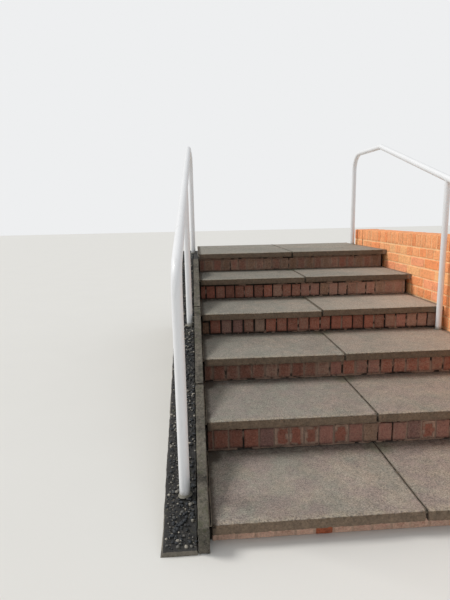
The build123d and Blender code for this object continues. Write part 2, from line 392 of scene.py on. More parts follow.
def prism(points, extent):
    """A solid from an outline of points and the vector that it is extruded by."""
    bm = bmesh.new()
    outline = bm.faces.new([bm.verts.new(point) for point in points])
    made = bmesh.ops.extrude_face_region(bm, geom=[outline])
    moved = [part for part in made["geom"] if isinstance(part, bmesh.types.BMVert)]
    bmesh.ops.translate(bm, verts=moved, vec=extent)
    bmesh.ops.recalc_face_normals(bm, faces=bm.faces)
    return bm


def box(low, high):
    """A box between two corners."""
    bm = bmesh.new()
    bmesh.ops.create_cube(bm, size=1.0)
    size = Vector(high) - Vector(low)
    bmesh.ops.scale(bm, vec=size, verts=bm.verts)
    bmesh.ops.translate(bm, vec=Vector(low) + size / 2, verts=bm.verts)
    return bm


def bevel(bm, edges, offset, segments):
    """Rounds edges."""
    bmesh.ops.bevel(bm, geom=edges, offset=offset, offset_type="OFFSET", affect="EDGES",
                    segments=segments, profile=0.5, material=-1, clamp_overlap=True)


def sharp_edges(bm, angle=1.0):
    """The edges whose faces turn by more than an angle."""
    return [edge for edge in bm.edges if edge.is_manifold and edge.calc_face_angle() > angle]


def cut(bm, axis, places):
    """Cuts the faces across at right angles to an axis, 0 to 2, at each place."""
    normal = Vector((0, 0, 0))
    normal[axis] = 1
    for place in places:
        geometry = bm.verts[:] + bm.edges[:] + bm.faces[:]
        bmesh.ops.bisect_plane(bm, geom=geometry, dist=1e-6, plane_co=normal * place, plane_no=normal)


def columns(bm, axis, pitch):
    """Divides the long edges that run along an axis."""
    runs = []
    for edge in bm.edges:
        run = edge.verts[1].co - edge.verts[0].co
        if abs(run[axis]) > 0.9 * run.length and run.length > 2 * pitch:
            runs.append(edge)
    cuts = round(max(edge.calc_length() for edge in runs) / pitch) - 1
    bmesh.ops.subdivide_edges(bm, edges=runs, cuts=cuts, use_grid_fill=True)


def push(bm, depth, scale, seed, chosen=None):
    """Pushes the surface inwards by up to a depth, unevenly, with noise of a scale in metres."""
    shift = random_shift(seed)
    bm.normal_update()
    moves = []
    for vert in bm.verts:
        if chosen is None or chosen(vert):
            moves.append((vert, -vert.normal * depth * swell(vert.co / scale + shift)))
    for vert, move in moves:
        vert.co += move


def random_shift(seed):
    """A place in the noise for a seed, so that like pieces differ."""
    rng = random.Random(seed)
    return Vector([rng.uniform(0, 90) for axis in range(3)])


def set_values(bm, **values):
    """Keeps numbers on the vertices, each one number or a function of the vertex."""
    for name, value in values.items():
        layer = bm.verts.layers.float.get(name) or bm.verts.layers.float.new(name)
        for vert in bm.verts:
            vert[layer] = value(vert) if callable(value) else value


def gather(whole, part):
    """Adds one bmesh to another."""
    scratch = bpy.data.meshes.new("scratch")
    part.to_mesh(scratch)
    part.free()
    whole.from_mesh(scratch)
    bpy.data.meshes.remove(scratch)


def finish_piece(name, bm, material, slot, *nodes, crease=35.0):
    """Makes a piece of the steps from a bmesh, in place of the plain nodes."""
    mesh = bpy.data.meshes.new(name)
    bm.to_mesh(mesh)
    bm.free()
    mesh.shade_smooth()
    mesh.set_sharp_from_angle(angle=math.radians(crease))
    mesh.materials.append(material)
    piece = bpy.data.objects.new(name, mesh)
    bpy.context.scene.collection.objects.link(piece)
    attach(piece, "root")
    if nodes:
        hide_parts(*nodes)
    return piece


# Places read from the frame

def slab_nodes():
    """The names of the slabs' nodes."""
    return sorted(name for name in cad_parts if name.startswith(("tread_", "landing_")))


def pitch_slope():
    """The slope of the line through the slabs' noses."""
    bottom_low, bottom_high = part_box("tread_1_left")
    top_low, top_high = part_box("landing_front_left")
    return (top_high.z - bottom_high.z) / (top_low.y - bottom_low.y)


# Paving slabs

def slab_material(looks):
    """Weathered pressed concrete: sandy, clouded, brown and pitted at the front, dirty at the back."""
    paint = Paint("slab_concrete")
    cloud = paint.noise(3.4, 5.0, 0.62)
    patch = paint.noise(15.0, 5.0, 0.66)
    sand = paint.noise(230.0, 2.0, 0.6)
    grit = paint.noise(82.0, 4.0, 0.7)
    tint = paint.attribute("tone") + 1.5 * (cloud - 0.5) + 1.2 * (patch - 0.5)
    body = paint.mix(paint.step(tint, 0.0, 1.0), looks.grey, looks.pink)
    mauve = paint.step(paint.noise(7.0, 5.0, 0.66), 0.40, 0.60) * paint.attribute("mauve")
    body = paint.mix(mauve, body, looks.mauve)
    waves = ((5.0, 4.0, 0.34), (26.0, 4.0, 0.36), (64.0, 3.0, 0.7), (150.0, 2.0, 1.7), (260.0, 2.0, 1.8))
    body = paint.scaled(body, paint.uneven(*waves) * paint.attribute("light"))
    body = paint.mix(paint.attribute("wear") * paint.step(grit, 0.40, 0.60) * 0.50, body, looks.worn)
    body = paint.mix(paint.specks(150.0, 0.26, 0.5) * 0.35, body, looks.pale_speck)
    body = paint.mix(paint.specks(118.0, 0.24, 0.4) * 0.45, body, looks.dark_speck)
    ragged = 0.9 * (patch - 0.5)
    body = paint.mix(paint.where("moss", ragged, 0.35, 0.85) * 0.45, body, looks.moss)
    # The front faces take a darker brown: dirt, together with painted shade, which the row's front lightness
    # makes deeper on the upper treads.
    front_light = paint.uneven((34.0, 4.0, 1.4), (110.0, 3.0, 1.6)) * paint.attribute("front_light")
    front = paint.scaled(looks.front, front_light)
    body = paint.mix(paint.where("front", ragged, 0.30, 0.70) * 0.9, body, front)
    pits = paint.step(paint.noise(105.0, 3.0, 0.7), 0.53, 0.63) * paint.attribute("wear")
    body = paint.mix(pits * 0.5, body, looks.dirt)
    ragged = 0.9 * (paint.noise(30.0, 6.0, 0.7) - 0.5) + 0.4 * (grit - 0.5)
    body = paint.mix(paint.where("dirt", ragged, 0.28, 0.90) * 0.86, body, looks.dirt)
    paint.set(Base_Color=body, Roughness=0.84 + 0.12 * sand)
    paint.bump(0.5 * sand + 0.6 * grit - 0.8 * pits, 0.0020, 0.8)
    return paint.material


def slab_grid(looks, size):
    """A slab from its corner at the origin, with a round nose and a fine mesh."""
    bm = box((0, 0, 0), size)
    nose = [edge for edge in bm.edges
            if all(vert.co.y < 1e-5 and vert.co.z > size.z - 1e-5 for vert in edge.verts)]
    bevel(bm, nose, looks.nose_radius, 4)
    bevel(bm, sharp_edges(bm), looks.arris, 1)
    near_nose = [0.014, 0.019, 0.025, 0.032, 0.041, 0.053, 0.070, 0.092, 0.120]
    near_back = [size.y - 0.06, size.y - 0.03, size.y - 0.012]
    cut(bm, 1, near_nose + spread(near_nose[-1], near_back[0], 0.045) + near_back)
    cut(bm, 2, spread(0.004, size.z - looks.nose_radius, looks.column))
    columns(bm, 0, looks.column)
    return bm


class Slabs(NamedTuple):
    """The looks of a row of slabs: share of pink and light at the left and right ends, the purple-grey
    clouds' strength, the fronts' light, and how far the crack in their joint reaches down."""
    pink: tuple
    light: tuple
    mauve: float
    front: float
    joint: float


SLAB_LOOKS = {
    "tread_1": Slabs((0.25, 0.95), (1.05, 1.05), 0.50, 1.06, 0.004),
    "tread_2": Slabs((0.05, 0.85), (1.00, 1.02), 0.35, 1.08, 0.004),
    "tread_3": Slabs((0.00, 0.95), (0.97, 1.04), 0.15, 0.80, 0.0015),
    "tread_4": Slabs((0.00, 1.00), (0.85, 1.24), 0.05, 0.80, 0.006),
    "tread_5": Slabs((0.00, 0.75), (0.79, 1.08), 0.05, 0.67, 0.003),
    "landing_front": Slabs((0.05, 0.50), (1.00, 1.06), 0.10, 0.74, 0.003),
    "landing_back": Slabs((0.10, 0.50), (1.04, 1.10), 0.10, 0.74, 0.003),
}
# Dips worn into noses: the slab, the dip's middle from the slab's left end, half its width and its depth.
DIPS = {
    "tread_1_left": (0.77, 0.075, 0.0075),
    "tread_3_left": (0.86, 0.050, 0.0060),
    "tread_4_left": (0.42, 0.110, 0.0045),
    "tread_5_right": (0.10, 0.080, 0.0050),
    "landing_front_left": (0.60, 0.090, 0.0050),
}
# How far a slab's left and right ends have sunk.
SUNK = {
    "tread_1_left": (0.006, 0.000),
    "tread_3_left": (0.001, 0.005),
    "tread_4_left": (0.006, 0.009),
    "tread_5_left": (0.002, 0.004),
}


def wear_slab(bm, size, looks, node):
    """Wears a slab's nose, chips its corners and roughens its faces, all inwards."""
    shift = random_shift(node)
    rng = random.Random(node)
    chips = [rng.uniform(0.008, 0.026), rng.uniform(0.008, 0.026)]
    dip_place, dip_width, dip_depth = DIPS.get(node, (0.5, 0.1, 0.0))
    inwards = Vector((0, 0.72, -0.7))
    for vert in bm.verts:
        x, y, z = vert.co
        from_nose = math.hypot(y, size.z - z)
        near = smooth(1.25 - from_nose / looks.wear_reach)
        hollow = max(0.0, noise.noise(vert.co * 42 + shift) + 0.10)
        crumb = max(0.0, noise.noise(vert.co * 120 + shift))
        long_wear = swell(Vector((x * 6, 0, 0)) + shift)
        dip = dip_depth * smooth(1 - abs(x - dip_place) / dip_width) * smooth(1.3 - from_nose / 0.035)
        move = inwards * (near * looks.wear * (0.40 * long_wear + 0.90 * hollow + 0.90 * crumb) + dip)
        for side, end, chip in ((1, x, chips[0]), (-1, size.x - x, chips[1])):
            corner = smooth(1.0 - math.hypot(end, from_nose) / chip)
            move += Vector((side * 0.5, 0.5, -0.7)) * corner * chip * (0.22 + 0.25 * crumb)
        if y < 0.004 and z < size.z - 0.004:
            low_edge = smooth(1 - z / 0.014)
            move.y += 0.0026 * crumb + 0.0014 * (1 + noise.noise(vert.co * 20 + shift))
            move.y += low_edge * 0.007 * max(0.0, noise.noise(vert.co * 60 + shift * 2) + 0.1)
        if z > size.z - 0.001:
            worn = 1 + noise.noise(vert.co * 3.0 + shift)
            move.z -= 0.0009 * worn + 0.0005 * (1 + noise.noise(vert.co * 38 + shift))
        vert.co += move
    set_values(
        bm,
        front=lambda vert: smooth(1.4 - vert.co.y / 0.012) * smooth((size.z - vert.co.z) / 0.010),
        wear=lambda vert: smooth(1.2 - math.hypot(vert.co.y, size.z - vert.co.z) / 0.034),
    )


class STEPS_OT_lay_slabs(bpy.types.Operator):
    """Lay the worn paving slabs of the treads and the landing"""
    bl_idname = "steps.lay_slabs"
    bl_label = "Lay Slabs"

    def execute(self, context):
        looks = context.scene.concrete_steps.slabs
        material = slab_material(looks)
        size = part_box("tread_1_left")[1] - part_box("tread_1_left")[0]
        plain = slab_grid(looks, size)
        for node in slab_nodes():
            bm = plain.copy()
            wear_slab(bm, size, looks, node)
            self.soil_slab(bm, size, looks, node)
            self.place_slab(bm, size, node)
            finish_piece(f"slab_{node}", bm, material, "slab_concrete", node)
        plain.free()
        return {"FINISHED"}

    def soil_slab(self, bm, size, looks, node):
        """Gives a slab its tone, and its dirt along the riser, the kerb and the joint."""
        row, side = node.rsplit("_", 1)
        right = side == "right"
        own = SLAB_LOOKS[row]
        rng = random.Random(node)
        back = size.y - looks.tail if row.startswith("tread") else size.y * 2
        reach = rng.uniform(0.018, 0.032)
        corner = rng.uniform(0.05, 0.07) if right else rng.uniform(0.12, 0.17)
        ends = (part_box(f"{row}_left")[0].x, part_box(f"{row}_right")[1].x)
        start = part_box(node)[0].x

        def across(pair):
            """A number that changes evenly from the row's left end to its right end."""
            return lambda vert: between(pair, (start + vert.co.x - ends[0]) / (ends[1] - ends[0]))

        def dirt(vert):
            from_back = back - vert.co.y
            from_edge = size.x - vert.co.x if right else vert.co.x
            from_joint = vert.co.x if right else size.x - vert.co.x
            by_riser = 0.62 * smooth(1 - from_back / reach)
            by_edge = (0.15 if right else 0.85) * smooth(1 - from_edge / looks.edge_dirt)
            by_joint = 0.60 * (own.joint > 0.002) * smooth(1 - from_joint / looks.joint_dirt)
            in_corner = 1.1 * smooth(1 - math.hypot(from_edge, from_back) / corner)
            return min(1.1, max(by_riser, by_edge, by_joint, in_corner))

        def moss(vert):
            from_joint = vert.co.x if right else size.x - vert.co.x
            return smooth(1 - math.hypot(from_joint, back - vert.co.y) / looks.moss_reach)

        set_values(bm, tone=across(own.pink), light=across(own.light), mauve=own.mauve,
                   front_light=own.front, dirt=dirt, moss=moss)

    def place_slab(self, bm, size, node):
        """Lays a slab in its place, a little sunk and out of true."""
        low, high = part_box(node)
        rng = random.Random(f"place {node}")
        left_sunk, right_sunk = SUNK.get(node, (rng.uniform(0.0004, 0.0020), rng.uniform(0.0004, 0.0020)))
        lean = Matrix.Rotation((right_sunk - left_sunk) / size.x, 4, "Y")
        backward = 0.0 if node.startswith("landing_back") else rng.uniform(0.0, 0.002)
        settle = Vector((0, backward, -left_sunk))
        bmesh.ops.transform(bm, matrix=Matrix.Translation(low + settle) @ lean, verts=bm.verts)


# Brick risers

def brick_material(name, stops, mortar, soot_and_shade, roughness):
    """Fired brick: a tone for each brick, small burnt specks, smeared mortar, and dirt, which on the risers
    also holds painted shade at the bricks' heads under the slabs.
    """
    paint = Paint(name)
    body = paint.choice(paint.attribute("tone"), stops)
    sand = paint.noise(300.0, 2.0, 0.6)
    grain = paint.noise(120.0, 3.0, 0.65)
    light = paint.uneven((13.0, 4.0, 0.5), (46.0, 4.0, 0.9), (120.0, 3.0, 1.4)) * paint.attribute("light")
    body = paint.scaled(body, light)
    burnt = paint.step(paint.noise(85.0, 4.0, 0.7), 0.54, 0.72)
    body = paint.mix(burnt * 0.30, body, soot_and_shade)
    smeared = paint.where("smear", 0.8 * (paint.noise(60.0, 6.0, 0.72) - 0.5) + (grain - 0.5), 0.05, 1.0)
    thick = 0.9 + 0.35 * paint.attribute("smear")
    film = paint.uneven((30.0, 4.0, 0.8), (110.0, 3.0, 1.2)) * paint.attribute("light") * thick
    body = paint.mix(smeared * 0.92, body, paint.scaled(mortar, film))
    # Dirt, and on the risers also painted shade at the bricks' heads under the slabs.
    dirty = paint.where("dirt", 0.9 * (paint.noise(44.0, 5.0, 0.7) - 0.5), 0.32, 0.95)
    body = paint.mix(dirty * 0.8, body, soot_and_shade)
    paint.set(Base_Color=body, Roughness=roughness + 0.1 * sand)
    paint.bump(0.4 * sand + 0.6 * grain + 0.5 * smeared, 0.0018, 0.8)
    return paint.material


def mortar_material(name, mortar, soot_and_shade):
    """Mortar that is pale where it is flush and dark where the joint is deep: dirt, with painted shade in the
    recess.
    """
    paint = Paint(name)
    sand = paint.noise(300.0, 2.0, 0.6)
    grain = paint.noise(90.0, 4.0, 0.65)
    light = paint.uneven((24.0, 4.0, 0.6), (90.0, 4.0, 0.8), (260.0, 2.0, 0.6)) * paint.attribute("light")
    body = paint.scaled(mortar, light)
    deep = paint.where("deep", 0.8 * (paint.noise(52.0, 5.0, 0.7) - 0.5), 0.25, 0.80)
    body = paint.mix(deep * 0.92, body, soot_and_shade)
    paint.set(Base_Color=body, Roughness=0.9)
    paint.bump(0.5 * sand + 0.6 * grain, 0.002, 0.8)
    return paint.material


def brick(low, high, arris, segments, cuts, roughness, seed):
    """One brick with broken edges, cut into a mesh of cuts in X, Y and Z, and roughened."""
    bm = box(low, high)
    bevel(bm, bm.edges[:], arris, segments)
    for axis, count in enumerate(cuts):
        if count:
            inner_low = low[axis] + arris * 1.2
            inner_high = high[axis] - arris * 1.2
            cut(bm, axis, spread(inner_low, inner_high, (inner_high - inner_low) / (count + 1)))
    push(bm, roughness, 0.016, seed)
    return bm


# Brick colours by letter: red, dull red, pink, brown, purple-grey, tan, orange, and mortar all over. A
# capital letter is a brick that is thickly smeared, and q is a red brick with pale mortar all round it.
LETTERS = "rdpbgtom"


class Row(NamedTuple):
    """What a riser shows: its bricks' letters, the place of the first joint and the bricks' pitch, then the
    joints' depth, the smeared mortar and the lightness at the left and right ends, and last the height of
    the bed and how dirty it is."""
    letters: str
    first_joint: float
    pitch: float
    depths: tuple
    smears: tuple
    lights: tuple
    foot: float
    fouling: float


# The risers from the bottom.
RISER_ROWS = [
    Row("dprpdrorppdrprmpdrppdrpr", 0.020, 0.083, (0.0012, 0.0016), (0.66, 0.76), (2.1, 2.3), 0.000, 0.15),
    Row("drrrgqqqpqptppgqprprRdrr", 0.030, 0.0811, (0.0050, 0.0060), (0.16, 0.52), (0.88, 1.52), 0.012, 0.75),
    Row("dddddDdddDprPprrrrRrrrrr", 0.050, 0.0849, (0.0030, 0.0055), (0.24, 0.32), (0.88, 1.36), 0.012, 0.60),
    Row("brGgDmrrdRrrrrdrdRpPPPdr", 0.055, 0.0844, (0.0150, 0.0085), (0.24, 0.40), (0.88, 1.40), 0.010, 0.80),
    Row("rrRdrRdrRrrppbppdppbppdp", 0.044, 0.083, (0.0140, 0.0022), (0.20, 0.70), (0.76, 1.48), 0.008, 0.60),
    Row("dbrbrdbdbdbbdbdbdrrbdbdb", 0.048, 0.083, (0.0032, 0.0028), (0.42, 0.46), (0.93, 1.08), 0.006, 0.50),
]


class STEPS_OT_set_risers(bpy.types.Operator):
    """Set the bricks on edge of the risers, with their mortar"""
    bl_idname = "steps.set_risers"
    bl_label = "Set Risers"

    def execute(self, context):
        looks = context.scene.concrete_steps.bricks
        tints = [looks.red, looks.dull, looks.pink, looks.brown, looks.purple, looks.tan, looks.orange,
                 looks.mortar]
        stops = [(place / len(tints), tint) for place, tint in enumerate(tints)]
        bricks = brick_material("riser_brick", stops, looks.mortar, looks.soot_and_shade, 0.86)
        mortar = mortar_material("riser_mortar", looks.mortar, looks.soot_and_shade)
        for place, row in enumerate(RISER_ROWS):
            self.lay_row(f"riser_{place + 1}", row, looks, bricks, mortar)
        return {"FINISHED"}

    def lay_row(self, node, row, looks, brick_paint, mortar_paint):
        """Lays one riser's bricks from the left, and the mortar behind and between them."""
        low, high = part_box(node)
        rng = random.Random(node)
        gap = row.pitch - looks.thickness
        joints = []
        for place in range(len(row.letters)):
            joint = low.x + row.first_joint + row.pitch * place + rng.uniform(-0.0018, 0.0018)
            uneven = rng.uniform(0.35, 1.6)
            joints.append((joint, 0.0 if "q" in row.letters[place:place + 2] else uneven))
        bricks = bmesh.new()
        start = low.x
        for letter, (joint, uneven) in zip(row.letters, joints):
            end = min(joint - gap * rng.uniform(0.35, 0.6), high.x)
            if end - start > 0.012:
                along = (start - low.x) / (high.x - low.x)
                part = self.lay_brick(node, letter, start, end, low, high, row, looks, along)
                gather(bricks, part)
            start = joint + gap * rng.uniform(0.35, 0.6)
        finish_piece(f"{node}_bricks", bricks, brick_paint, "riser_brick", node)
        self.point_row(node, row, low, high, joints, looks, mortar_paint)

    def lay_brick(self, node, letter, start, end, low, high, row, looks, along):
        """One brick on edge, with mortar smeared in from its edges."""
        seed = f"{node} {start:.3f}"
        rng = random.Random(seed)
        smear = between(row.smears, along) + rng.uniform(-0.10, 0.14)
        light = between(row.lights, along)
        foot = low.z + row.foot * rng.uniform(0.6, 1.0)
        head = min(foot + looks.height * rng.uniform(0.97, 1.0), high.z - rng.uniform(0.002, 0.005))
        face = low.y + rng.uniform(0.0, 0.0020)
        if letter == "b" and node == "riser_4":
            head -= looks.dropped
            face += looks.set_back
        corner = Vector((start, face, foot))
        opposite = Vector((end, high.y, head))
        part = brick(corner, opposite, looks.arris, 2, (8, 0, 11), looks.roughness, seed)
        tilt = Matrix.Rotation(rng.uniform(-0.020, 0.020), 4, "Y")
        middle = Vector(((start + end) / 2, face, (foot + head) / 2))
        bmesh.ops.rotate(part, cent=middle, matrix=tilt, verts=part.verts)
        for vert in part.verts:
            vert.co.z = max(vert.co.z, low.z)
        at_edges = 0.40 - 0.60 * smooth(between(row.depths, along) / 0.012)
        above_middle = 0.35 if node == "riser_1" else 0.0
        pointed = 0.0
        if letter.isupper():
            smear += 0.32
        elif letter == "o":
            smear -= 1.0
            light *= 0.5
        elif letter == "q":
            letter = "r"
            pointed = 2.4
            smear -= 0.1
        shift = random_shift(f"pointing {start:.3f}")

        def mortar_at(vert):
            from_edge = min(vert.co.x - start, end - vert.co.x, vert.co.z - foot, head - vert.co.z)
            near_edge = smooth(1 - from_edge / looks.smear_reach)
            above = smooth((vert.co.z - foot) / (head - foot) * 2 - 1)
            ragged = smooth(0.5 + 1.2 * noise.noise(vert.co * 34 + shift))
            return smear + (at_edges + pointed * ragged) * near_edge + above_middle * above

        # Dirt at a brick's foot, and painted shade at its head under the slab.
        def dirt_and_shade_at(vert):
            at_foot = smooth(1 - (vert.co.z - foot) / looks.foot_dirt)
            at_head = smooth(1 - (head - vert.co.z) / looks.head_shade)
            return row.fouling * at_foot + 0.55 * at_head

        tone = (LETTERS.index(letter.lower()) + 0.5) / len(LETTERS)
        set_values(part, tone=tone, smear=mortar_at, dirt=dirt_and_shade_at, light=light * rng.uniform(0.90, 1.10))
        return part

    def point_row(self, node, row, low, high, joints, looks, mortar_paint):
        """The mortar of one riser: flush in some joints, deep in others and under the slab, and painted
        darker the deeper it lies, as dirt with painted shade.
        """
        face = low.y + looks.mortar_back
        bm = box(Vector((low.x + 0.001, face, low.z)), high - Vector((0.001, 0.01, 0.001)))
        cut(bm, 1, [face + 0.02])
        cut(bm, 2, spread(low.z, high.z, 0.007))
        columns(bm, 0, 0.0055)
        shift = random_shift(node)
        layer = bm.verts.layers.float.new("deep")
        for vert in bm.verts:
            if vert.co.y > face + 0.001:
                vert[layer] = 0.6
                continue
            along = (vert.co.x - low.x) / (high.x - low.x)
            place, uneven = min(joints, key=lambda joint: abs(joint[0] - vert.co.x))
            depth = uneven * between(row.depths, along)
            ragged = noise.noise(vert.co * 30 + shift)
            fine = noise.noise(vert.co * 110 + shift)
            in_bed = smooth(1 - (vert.co.z - low.z - row.foot * 0.6) / 0.01)
            depth = depth * (1 - 0.5 * in_bed) + 0.004 * row.fouling * in_bed
            # Under the slab the mortar lies deeper, so it is also painted darker there as shade.
            depth += 0.008 * smooth(1 - (high.z - vert.co.z) / 0.012) * row.fouling
            move = max(0.0, depth * (1 + 1.3 * ragged) + 0.0016 * fine - 0.0015)
            vert.co.y += min(move, looks.deepest)
            # The deeper the mortar lies, the darker it is painted: dirt, with painted shade in the recess.
            vert[layer] = smooth((move - 0.0012) / 0.0055)
        set_values(bm, light=lambda vert: between(row.lights, (vert.co.x - low.x) / (high.x - low.x)))
        finish_piece(f"{node}_mortar", bm, mortar_paint, "riser_brick", node)


# Retaining wall

class STEPS_OT_build_wall(bpy.types.Operator):
    """Build the brick wall in courses of stretchers and headers, under its coping of bricks on edge"""
    bl_idname = "steps.build_wall"
    bl_label = "Build Wall"

    def execute(self, context):
        looks = context.scene.concrete_steps.wall
        risers = context.scene.concrete_steps.bricks
        # These wall colours carry painted sunlight as well as the bricks' tones.
        stops = [(0.0, looks.dark), (0.20, looks.middle), (0.56, looks.pink), (0.72, looks.light)]
        self.paint = brick_material("wall_brick", stops, looks.mortar, looks.stain_and_shade, 0.8)
        self.mortar = mortar_material("wall_mortar", looks.mortar, looks.stain_and_shade)
        self.build_courses(looks)
        self.build_coping(looks, risers)
        return {"FINISHED"}

    def stretches(self, looks):
        """The ends of the wall's two stretches, and the middle of the open joint between them."""
        low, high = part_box("right_wall")
        gap = high.y - looks.open_joint
        return [(low.y, gap - looks.joint / 2), (gap + looks.joint / 2, high.y)], gap

    def build_courses(self, looks):
        """English garden wall bond, one course of headers over three of stretchers."""
        low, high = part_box("right_wall")
        rng = random.Random("wall")
        stretches, gap = self.stretches(looks)
        course = looks.brick_height + looks.joint
        bricks = bmesh.new()
        for row in range(math.ceil((high.z - low.z) / course)):
            top = high.z - looks.joint - row * course
            foot = max(low.z, top - looks.brick_height)
            if top - foot > 0.015:
                for near, far in stretches:
                    ends = Vector((low.x, near, foot)), Vector((high.x, far, top))
                    self.lay_course(bricks, looks, *ends, row, rng)
        finish_piece("wall_bricks", bricks, self.paint, "wall_brick", "right_wall")
        self.lay_mortar("wall_mortar", low, high, looks, "right_wall", gap)

    def lay_course(self, bricks, looks, low, high, row, rng):
        """One course of bricks: headers through the wall, or two leaves of stretchers."""
        headers = row % 4 == 0
        brick_run = looks.brick_width if headers else looks.brick_length
        pitch = brick_run + looks.joint
        if headers:
            leaves = [(low.x, high.x)]
            start = low.y
        else:
            leaves = [(low.x, low.x + looks.brick_width), (high.x - looks.brick_width, high.x)]
            start = low.y - (pitch / 2 if row % 2 else pitch / 4)
        for leaf_low, leaf_high in leaves:
            for place in range(math.ceil((high.y - start) / pitch)):
                near = max(start + pitch * place, low.y)
                far = min(start + pitch * place + brick_run, high.y)
                if far - near < 0.025:
                    continue
                slack = [rng.uniform(0.0, 0.0012) for side in range(2)]
                lift = rng.uniform(-0.0012, 0.0012)
                corner = Vector((leaf_low + slack[0], near, max(low.z + lift, 0)))
                opposite = Vector((leaf_high - slack[1], far - rng.uniform(0, 0.002), high.z + lift))
                part = box(corner, opposite)
                bevel(part, part.edges[:], looks.arris, 1)
                push(part, looks.roughness, 0.02, f"wall {row} {near} {leaf_low}")
                set_values(part, tone=rng.random(), light=rng.uniform(0.94, 1.06),
                           smear=rng.uniform(-0.10, 0.36 if headers else 0.24),
                           dirt=max(0.0, rng.uniform(-0.4, 0.30 if headers else 0.20)))
                gather(bricks, part)

    def build_coping(self, looks, risers):
        """Bricks on edge across the top of the wall."""
        low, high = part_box("right_wall_coping")
        rng = random.Random("coping")
        stretches, gap = self.stretches(looks)
        bricks = bmesh.new()
        for stretch, (first, last) in enumerate(stretches):
            count = round((last - first) / risers.pitch)
            pitch = (last - first) / count
            for place in range(count):
                near = first + place * pitch + (looks.joint / 2 if place else 0.0)
                far = first + (place + 1) * pitch - (looks.joint / 2 if place < count - 1 else 0.0)
                corner = Vector((low.x + rng.uniform(0, 0.002), near, low.z))
                opposite = Vector((high.x - rng.uniform(0, 0.002), far, high.z - rng.uniform(0, 0.002)))
                seed = f"coping {stretch} {place}"
                part = brick(corner, opposite, looks.coping_arris, 2, (6, 3, 3), risers.roughness, seed)
                set_values(part, tone=rng.random() * 0.56, light=rng.uniform(0.88, 1.0),
                           smear=rng.uniform(-0.10, 0.26), dirt=max(0.0, rng.uniform(-0.4, 0.22)))
                gather(bricks, part)
        finish_piece("coping_bricks", bricks, self.paint, "wall_brick", "right_wall_coping")
        top = high - Vector((0, 0, looks.recess))
        self.lay_mortar("coping_mortar", low, top, looks, "right_wall_coping", gap)

    def lay_mortar(self, name, low, high, looks, node, gap):
        """The mortar body of the wall, a little behind the bricks' faces and open at an upright joint."""
        inset = Vector((looks.recess, looks.recess, 0))
        bm = box(low + inset, high - inset)
        cut(bm, 2, spread(low.z, high.z, 0.035))
        cut(bm, 0, spread(low.x, high.x, 0.035))
        columns(bm, 1, 0.03)
        push(bm, looks.mortar_wave, 0.05, name, lambda vert: vert.co.z > low.z + 0.001)
        half = looks.joint / 2
        cut(bm, 1, [gap - half * 1.05, gap - half * 0.95, gap + half * 0.95, gap + half * 1.05])
        for vert in bm.verts:
            if abs(vert.co.y - gap) < half:
                side = 1 if vert.co.x < (low.x + high.x) / 2 else -1
                at_face = min(vert.co.x - low.x, high.x - vert.co.x) < 2 * looks.recess
                vert.co.x += side * at_face * looks.open_depth

        # The open upright joint is painted darkest and the rest a little dark at random: dirt, with painted
        # shade in the open joint.
        def deep(vert):
            if abs(vert.co.y - gap) < half * 1.1:
                return 1.4
            return 0.3 * swell(vert.co * 3)

        set_values(bm, deep=deep, light=1.0)
        finish_piece(name, bm, self.mortar, "wall_brick", node)


# Kerb, haunch and core

def rough_concrete(name, looks, base, grown_share, coarse, contrast=1.0, growth=None):
    """Rough concrete of a base colour with sand, stones of a coarseness, and lichen or another growth."""
    paint = Paint(name)
    sand = paint.noise(280.0, 2.0, 0.6)
    grit = paint.noise(95.0, 3.0, 0.65)
    waves = ((5.0, 5.0, 0.7), (26.0, 4.0, 0.7), (70.0, 3.0, 0.8), (180.0, 2.0, 0.6))
    light = paint.uneven(*((scale, detail, amount * contrast) for scale, detail, amount in waves))
    body = paint.scaled(base, light)
    stones = paint.specks(coarse, 0.32, 0.6)
    body = paint.mix(stones * 0.35, body, looks.pale_grit)
    body = paint.mix(paint.specks(coarse * 1.4, 0.30, 0.5) * 0.5, body, looks.dark_grit)
    grown = paint.step(paint.noise(17.0, 6.0, 0.72), 0.62 - 0.24 * grown_share, 0.74 - 0.12 * grown_share)
    body = paint.mix(grown * 0.65, body, growth or looks.lichen)
    paint.set(Base_Color=body, Roughness=0.86 + 0.1 * sand)
    paint.bump(0.4 * sand + 0.6 * grit + 0.3 * stones, 0.0024, 0.9)
    return paint.material


